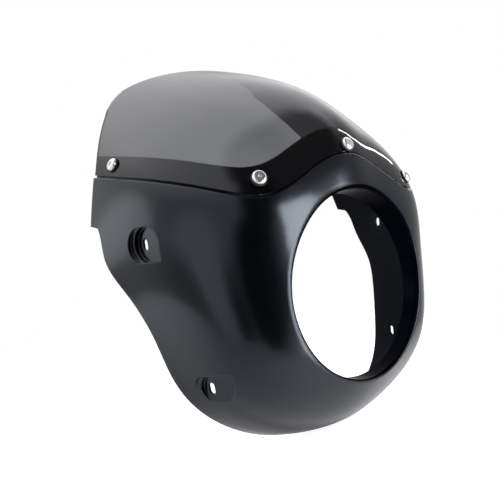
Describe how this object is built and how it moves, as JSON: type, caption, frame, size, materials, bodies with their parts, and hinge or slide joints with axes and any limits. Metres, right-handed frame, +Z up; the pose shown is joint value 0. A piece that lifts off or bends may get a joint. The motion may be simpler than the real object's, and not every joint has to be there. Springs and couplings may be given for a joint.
{
  "type": "motorcycle fairing",
  "caption": "Bullet-style headlamp fairing: satin black moulded shell with a round lamp opening, recessed slotted fixing pockets and a smoked screen screwed to a stepped flange.",
  "frame": {"origin": "centre of the lamp opening at the back edge of its collar", "axes": "+Z up, -Y ahead, +X to the side; the shoulder line is about level and the lamp axis is tilted back 13.3 degrees about X"},
  "size_m": [0.3598, 0.2792, 0.3791],
  "materials": {
    "body": "satin",
    "screen": "smoked gloss",
    "screw": "polished",
    "pad": "matt",
    "washer": "zinc plated",
    "nut": "zinc plated"
  },
  "bodies": {
    "root": {"fairing_body": "body", "windscreen": "screen", "screen_screws": "screw", "screen_pads": "pad", "backing_washers": "washer", "lock_nuts": "nut"}
  },
  "joints": []
}
